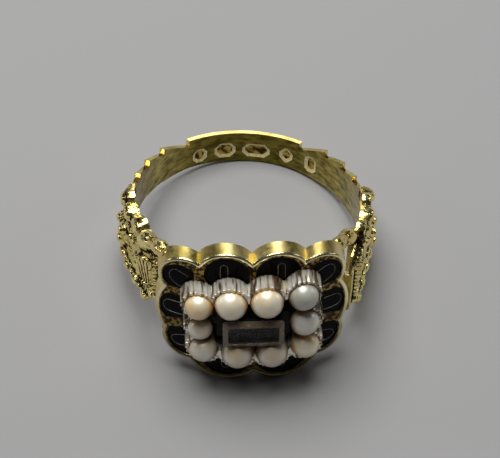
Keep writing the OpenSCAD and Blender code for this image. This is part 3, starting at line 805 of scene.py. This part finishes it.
# %% The height of the chased surface
def chased_height(s, w, knobs):
    """The finished relief: the highest motif over the bed, the grain of the cast, one pit."""
    filled = np.clip((5.0 - s) / 0.6, 0, 1) * np.clip((s + 0.9) / 0.4, 0, 1)
    bed = 0.04 + 0.2 * filled + 0.014 * np.cos(s * 31) * np.cos(w * 29)
    best = np.maximum.reduce([bed, knob_relief(s, w, knobs), rail_relief(s, w),
                              mound_relief(s, w), lump_relief(s, w), leaf_relief(s, w),
                              flower_relief(s, w), shell_relief(s, w), rope_relief(s, w)])
    coarse = (0.5 + 0.5 * np.sin(5.3 * s + 1.9 * np.sin(3.1 * w))
              * np.sin(6.4 * w + 1.6 * np.sin(2.7 * s)))
    grain = (0.5 + 0.5 * np.sin(15.0 * s + 2.0 * np.sin(6.0 * w))
             * np.sin(17.0 * w + 2.0 * np.sin(5.0 * s)))
    cast = (0.05 * coarse + 0.035 * grain) * np.clip(best / 0.25, 0, 1)
    pit = dome(np.hypot(s - 3.72, w - 1.12), 0.3, 0.36)
    return best + cast - pit


highest = chased_height(np.array([3.6]), np.array([2.4]), KNOBS[1])[0]
print("highest point of a knob", round(float(highest), 2))

# %% [markdown]
# ## The fine skin of a shoulder
# The grid follows the shoulder's outline. Every point also stores how proud it stands over its
# surroundings: proud places are polished, and low ones get dirt and painted shade. The shell
# is given extra painted shade. The grid's edge is folded down into the gold.

# %% The skin of both shoulders
ROWS, COLUMNS = 280, 130
SKIN_FROM, SKIN_LENGTH = -1.1, 9.7    # along the shoulder
NEAR = 0.24    # how far round it a point looks


def shoulder_skin(side):
    """The relief of the right (1) or the left (-1) shoulder as a mesh."""
    bm = bmesh.new()
    bmesh.ops.create_grid(bm, x_segments=ROWS, y_segments=COLUMNS, size=0.5)
    flat = np.array([v.co[:2] for v in bm.verts]) + 0.5
    s = SKIN_FROM + flat[:, 0] * SKIN_LENGTH
    top = np.interp(s, *zip(*UPPER)) + 0.02
    low = np.interp(s, *zip(*LOWER)) - 0.02
    w = low + (top - low) * flat[:, 1]
    h = chased_height(s, w, KNOBS[side])
    around = [chased_height(s + NEAR * math.cos(a), w + NEAR * math.sin(a), KNOBS[side])
              for a in np.arange(8) * math.tau / 8]
    from_fan = np.hypot(s - SHELL_FROM[0], w - SHELL_FROM[1])
    # Painted shade: the shell's ribs count as less proud in the mask, so they turn darker.
    in_shell = (from_fan > 3.4) & (s > 4.6) & (s < 6.9) & (w > -2.4)
    proud = np.clip(0.5 - 0.34 * in_shell + (h - np.mean(around, axis=0)) / 0.2, 0, 1)
    edge = np.minimum(flat[:, 1], 1 - flat[:, 1]) * (top - low)
    h = h - groove(edge, 0.08, 0.12) + 0.02
    relief = bm.verts.layers.float.new("relief")
    for vert, place, share in zip(bm.verts, along(s, w, h, TURNS[side]), proud):
        vert.co = place
        vert[relief] = share
    border = [e for e in bm.edges if e.is_boundary]
    fold = bmesh.ops.extrude_edge_only(bm, edges=border)["geom"]
    for vert in (v for v in fold if isinstance(v, bmesh.types.BMVert)):
        across = min(math.atan2(vert.co.x, vert.co.y), TURNS[side])
        out = Vector((math.sin(across), math.cos(across), 0))
        vert.co -= out * (out.dot(vert.co) - (ROUND_R - 0.38))
        vert[relief] = 0.5
    if side < 0:
        bmesh.ops.scale(bm, vec=(-1, 1, 1), verts=bm.verts)
    bmesh.ops.transform(bm, matrix=HOOP_TURN, verts=bm.verts)
    return bm


for side, name in ((1, "right_shoulder_chasing"), (-1, "left_shoulder_chasing")):
    finish_piece(name, shoulder_skin(side), [chased_gold])

# %% [markdown]
# ## The two climbing leaves
# From each shoulder a thick leaf climbs to the bezel's upper corner. It looks like a row of
# swellings with a crease along its back. A grid is rolled up into a tube along the leaf's
# middle line, its radius swells and shrinks along the way, and the crease is pressed in.

# %% The tube of a leaf
# where each leaf leaves its shoulder (along, across), and then x, y, z, radius on its way
STARTS = {1: (3.65, 1.9), -1: (4.22, 2.14)}
CLIMBS = {1: [(7.72, -4.8, 2.2, 0.47), (7.12, -5.9, 2.86, 0.53), (6.62, -6.9, 3.3, 0.53),
              (6.26, -7.9, 3.7, 0.47), (6.1, -8.6, 3.9, 0.39)],
          -1: [(7.9, -4.8, 2.72, 0.51), (7.47, -5.9, 3.25, 0.57), (6.92, -6.9, 3.68, 0.55),
               (6.42, -7.9, 3.98, 0.48), (6.17, -8.6, 4.1, 0.39)]}
STEM = 0.36    # radius where the leaf leaves its shoulder
CREASE_AT = 0.9    # angle of the crease round the tube


def leaf_tube(side, rings=90, sides=36):
    """The climbing leaf of the right (1) or the left (-1) side."""
    s, w = STARTS[side]
    start = along(np.array([s]), np.array([w]), np.array([-0.18]), TURNS[side])[0]
    start = Matrix.Rotation(side * TURN, 3, "Y") @ Vector(start)
    path = smooth_path([(*start, STEM)] + CLIMBS[side], 18)
    steps = len(path) - 1
    bm = bmesh.new()
    bmesh.ops.create_grid(bm, x_segments=rings, y_segments=sides, size=0.5)
    relief = bm.verts.layers.float.new("relief")
    for vert in bm.verts:
        t, angle = vert.co.x + 0.5, (vert.co.y + 0.5) * math.tau
        at = min(int(t * steps), steps - 1)
        here = path[at].lerp(path[at + 1], t * steps - at)
        ahead = (path[at + 1] - path[at]).xyz
        out = Vector((-ahead.y, ahead.x, 0)).normalized()
        up = ahead.cross(out).normalized()
        swell = 1.04 + 0.15 * math.cos(t * math.tau * 2.6 + 0.6)
        crease = math.exp(-((math.sin((angle - CREASE_AT) / 2)) / 0.13) ** 2)
        notch = 0.5 + 0.5 * math.cos(t * math.tau * 7 + 2.2 * math.cos(angle - CREASE_AT))
        grain = math.cos(t * 58) * math.cos(angle * 7)
        radius = here.w * (1.03 * swell - 0.14 * crease - 0.04 * notch + 0.035 * grain)
        vert.co = here.xyz + radius * (out * math.cos(angle) + up * math.sin(angle))
        # The crease and the notches count as less proud: dirt and painted shade gather there.
        vert[relief] = min(max(0.85 - 0.4 * crease - 0.15 * notch + 0.15 * grain, 0.0), 1.0)
    bmesh.ops.remove_doubles(bm, verts=bm.verts, dist=0.0005)
    bmesh.ops.holes_fill(bm, edges=[e for e in bm.edges if e.is_boundary])
    if side < 0:
        bmesh.ops.scale(bm, vec=(-1, 1, 1), verts=bm.verts)
    return bm


for side, name in ((1, "right_climbing_leaf"), (-1, "left_climbing_leaf")):
    finish_piece(name, leaf_tube(side), [chased_gold])

# %% [markdown]
# ## The rolled rim of the bezel
# The gold rim round the enamel was burnished round by hand, and it catches the light all the
# way. A wire of half its width is laid along the middle of the rim and sunk to its middle.

# %% The rim wire
# the lobes of the right side: across, up, radius; the left side mirrors them
LOBES = [(1.86, 3.47, 2.36), (4.95, 3.05, 1.92), (3.26, -0.1, 3.84), (4.62, -2.75, 2.06),
         (2.0, -3.28, 3.1)]
RIM = 0.3    # width of the rim
RIM_WIRE, RIM_LEVEL = 0.165, -0.08
STEPS = 24    # points round each lobe


def rim_path():
    """The middle of the rim, clockwise round all ten lobes, from circle to circle."""
    rounds = [(x, w, r - RIM / 2) for x, w, r in LOBES]
    rounds += [(-x, w, r) for x, w, r in reversed(rounds)]
    path = []
    for k, here in enumerate(rounds):
        before, after = rounds[k - 1], rounds[(k + 1) % len(rounds)]
        start = heading(here, before) - spread(here, before)
        end = heading(here, after) + spread(here, after)
        span = (start - end) % math.tau
        path += [(here[0] + here[2] * math.cos(start - span * j / STEPS),
                  here[1] + here[2] * math.sin(start - span * j / STEPS)) for j in range(STEPS)]
    return path


rim = bmesh.new()
add_wire(rim, [spot(x, w, RIM_LEVEL) for x, w in rim_path()], RIM_WIRE, closed=True, sides=4)
finish_piece("rolled_rim", rim, [bright_gold], turn_faces=False)

# %% [markdown]
# ## The stamped marks inside the hoop
# Five worn punch marks lie inside the hoop. Each is a shallow pan with cut corners, whose
# slanting sides are polished and painted pale as a painted highlight, and whose floor is brown
# with dirt. They carry no letters.
# A pan is a flat outline that is filled, inset to make the slanting side, and pushed in.

# %% The metal of the pans
stamped, tree = new_material("stamped_floor", Metallic=1.0, Roughness=0.32)
pits = mask(tree, add_noise(tree, 2300.0, 3.0), 0.42, 0.58)
wire_in(tree, mix_colors(tree, pits, (0.05, 0.025, 0.005), (0.50, 0.36, 0.08)))
add_bump(tree, pits, 1.0, 0.00008)
# Painted highlight: the slanting sides get a pale, half-metal gold that looks lit.
lit_slope_gold, tree = new_material("stamped_slope_highlight", Metallic=0.3)
scuffs = add_noise(tree, 4000.0, 2.0)
wire_in(tree, mix_colors(tree, scuffs, (0.78, 0.62, 0.26), (1.0, 0.92, 0.60)))
wire_in(tree, map_range(tree, scuffs, 0.3, 0.7, 0.2, 0.4), "Roughness")
print(stamped.name, lit_slope_gold.name)

# %% The stamped pans
# degrees round the hoop, up, width, height, cut corner
PANS = [(-22.4, -0.42, 1.2, 1.3, 0.36), (-8.6, -0.3, 1.65, 1.38, 0.42),
        (7.7, -0.3, 2.15, 1.26, 0.42), (23.8, -0.22, 1.1, 1.36, 0.44),
        (38.1, -0.2, 1.05, 1.5, 0.28)]
PAN_SLOPE, PAN_DEPTH = 0.24, 0.11


def cut_rectangle(x, y, c):
    """The eight corners of a rectangle with half sides x and y and corners cut by c."""
    return [(x, y - c), (x - c, y), (c - x, y), (-x, y - c),
            (-x, c - y), (c - x, -y), (x - c, -y), (x, c - y)]


for number, (degrees, middle, width, height, corner) in enumerate(PANS, start=1):
    bm = bmesh.new()
    bm.faces.new([bm.verts.new((px, py, 0))
                  for px, py in cut_rectangle(width / 2, height / 2, corner)])
    bmesh.ops.subdivide_edges(bm, edges=bm.edges[:], cuts=3)
    slope = bmesh.ops.inset_region(bm, faces=bm.faces[:], use_boundary=True, use_even_offset=True,
                                   thickness=PAN_SLOPE, depth=-PAN_DEPTH)["faces"]
    for face in slope:
        face.material_index = 1
    for vert in bm.verts:
        angle = math.radians(degrees) + vert.co.x / BORE
        radius = BORE + 0.008 - vert.co.z
        vert.co = (radius * math.sin(angle), radius * math.cos(angle), middle + vert.co.y)
    bmesh.ops.transform(bm, matrix=HOOP_TURN, verts=bm.verts)
    pan = finish_piece(f"stamped_mark_{number}", bm, [stamped, lit_slope_gold],
                       turn_faces=False)
    for face in pan.data.polygons:
        face.use_smooth = False

# %% [markdown]
# ## The bevelled glass
# The glass over the hair has a flat table and eight slanting facets round it. The table is
# clear, and the worn facets are a little frosted and painted pale brown as a painted
# reflection, so they show as a pale frame.

# %% The two surfaces of the glass
glass, tree = new_material("glass_table", Base_Color=(0.93, 0.92, 0.94, 1),
                           Transmission_Weight=1.0, IOR=1.2, Specular_IOR_Level=0.25)
wire_in(tree, map_range(tree, add_noise(tree, 1500.0, 3.0), 0.3, 0.7, 0.0, 0.02), "Roughness")
frosted_and_reflecting, tree = new_material("glass_bevels", Transmission_Weight=0.35)
smear = add_noise(tree, 2500.0, 3.0)
# Painted reflection: the pale brown of the facets stands in for what they mirror.
wire_in(tree, mix_colors(tree, smear, (0.10, 0.07, 0.045), (0.36, 0.28, 0.19)))
wire_in(tree, map_range(tree, smear, 0.3, 0.7, 0.12, 0.3), "Roughness")
print(glass.name, frosted_and_reflecting.name)

# %% The glass
# width, height, level of its foot, its girdle and its table
GLASS = [(4.1, 2.06, 1.655), (4.5, 2.46, 1.85), (3.74, 1.5, 2.1)]
GLASS_CORNER = 0.16

bm = bmesh.new()
loops = []
for width, height, level in GLASS:
    ring = [bm.verts.new((HAIR_AT[0] + px, -(FACE + level), HAIR_AT[1] + pw))
            for px, pw in cut_rectangle(width / 2, height / 2, GLASS_CORNER)]
    loops.append([bm.edges.new((here, ahead)) for here, ahead in zip(ring, ring[1:] + ring[:1])])
for first, second in zip(loops, loops[1:]):
    bmesh.ops.bridge_loops(bm, edges=first + second)
for ends in (loops[0], loops[-1]):
    bmesh.ops.holes_fill(bm, edges=ends)
pane = finish_piece("bevelled_glass", bm, [glass, frosted_and_reflecting], ["locket_glass"])
table_normal = (LAY_DOWN.to_3x3() @ Vector((0, -1, 0))).normalized()
for face in pane.data.polygons:
    face.use_smooth = False
    face.material_index = 0 if abs(face.normal.dot(table_normal)) > 0.95 else 1

# %% [markdown]
# ## Finishes of the solids that stay
# The gold body, the silver setting, the enamel and the black stand keep their CAD shape.
# They only get their finish.

# %% The stand, and all the finishes
# Black enamel and painted shadow: the stand fills the gap between pearls and glass with near black.
stand, tree = new_material("black_stand_and_shadow", Roughness=0.55, Specular_IOR_Level=0.25)
dust = mask(tree, add_noise(tree, 3000.0, 4.0), 0.45, 0.7)
wire_in(tree, mix_colors(tree, dust, (0.002, 0.002, 0.002), (0.02, 0.014, 0.012)))

finishes = {"ring_body": body_gold, "pearl_setting": silver, "locket_stand": stand}
finishes.update({name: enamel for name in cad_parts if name.startswith("enamel")})
for name, finish in finishes.items():
    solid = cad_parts[name]
    solid.data.materials.clear()
    solid.data.materials.append(finish)
print("finishes given to", len(finishes), "solids")

# %% [markdown]
# ## Floor, light and camera
# The photograph has soft light from above and a little behind, so one large lamp hangs there.
# A weaker one stands low behind the ring, two small ones stand at its sides, and the world is
# nearly dark. The camera stands where the photograph was taken: a long lens, about 56 degrees
# above the table.

# %% Floor
sheet = bmesh.new()
bmesh.ops.create_grid(sheet, x_segments=1, y_segments=1, size=0.6)
floor = add_object("floor", to_mesh("floor", sheet))
paper, _ = new_material("pale_floor", Base_Color=(0.32, 0.32, 0.325, 1), Roughness=0.9,
                        Specular_IOR_Level=0.1)
floor.data.materials.append(paper)
floor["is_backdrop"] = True

# %% Lamps
# name, place and size in metres, power in watts, colour
LAMPS = [("window", (-0.03, 0.075, 0.28), 0.25, 1.12, (1.0, 0.99, 0.97)),
         ("low_back", (0.0, 0.30, 0.16), 0.16, 0.14, (1, 1, 1)),
         ("left_side", (-0.26, 0.06, 0.10), 0.06, 0.05, (1, 1, 1)),
         ("right_side", (0.26, 0.08, 0.12), 0.06, 0.05, (1, 1, 1))]
for name, where, size, power, tint in LAMPS:
    light = bpy.data.lights.new(name, "AREA")
    light.shape = "DISK"
    light.size = size
    light.energy = power
    light.color = tint
    holder = add_object(name, light)
    holder.location = where
    holder.rotation_euler = (-Vector(where)).to_track_quat("-Z", "Y").to_euler()
world = bpy.data.worlds.new("studio")
bpy.context.scene.world = world
world.use_nodes = True
sky = world.node_tree.nodes["Background"].inputs
sky["Color"].default_value = (0.85, 0.87, 0.9, 1)
sky["Strength"].default_value = 0.03
print("lamps", len(LAMPS))

# %% Camera
# the camera's own right, up and back, and where it stands, in metres
CAMERA_AXES = ((0.99896, -0.04509, 0.0074), (0.03326, 0.82862, 0.55883),
               (-0.03133, -0.558, 0.82925))
CAMERA_AT = (-0.0081461, -0.1427923, 0.2192941)
optics = bpy.data.cameras.new("camera")
camera = add_object("camera", optics)
bpy.context.scene.camera = camera
optics.sensor_width = 36
optics.lens = 247.1
optics.shift_x = 0.007
optics.shift_y = -0.0216
optics.clip_start, optics.clip_end = 0.01, 10
camera.matrix_world = Matrix.Translation(CAMERA_AT) @ Matrix(CAMERA_AXES).transposed().to_4x4()
print("camera at", [round(v, 3) for v in camera.location])

# %% [markdown]
# ## Contrast and the ring's box
# Daylight gives deep blacks and bright highlights, and the plain display setting keeps them.
# At the end the box round the dressed ring is measured.

# %% Contrast as in daylight
bpy.context.scene.view_settings.view_transform = "Standard"

# %% Measure the box round the dressed ring
low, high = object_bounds()
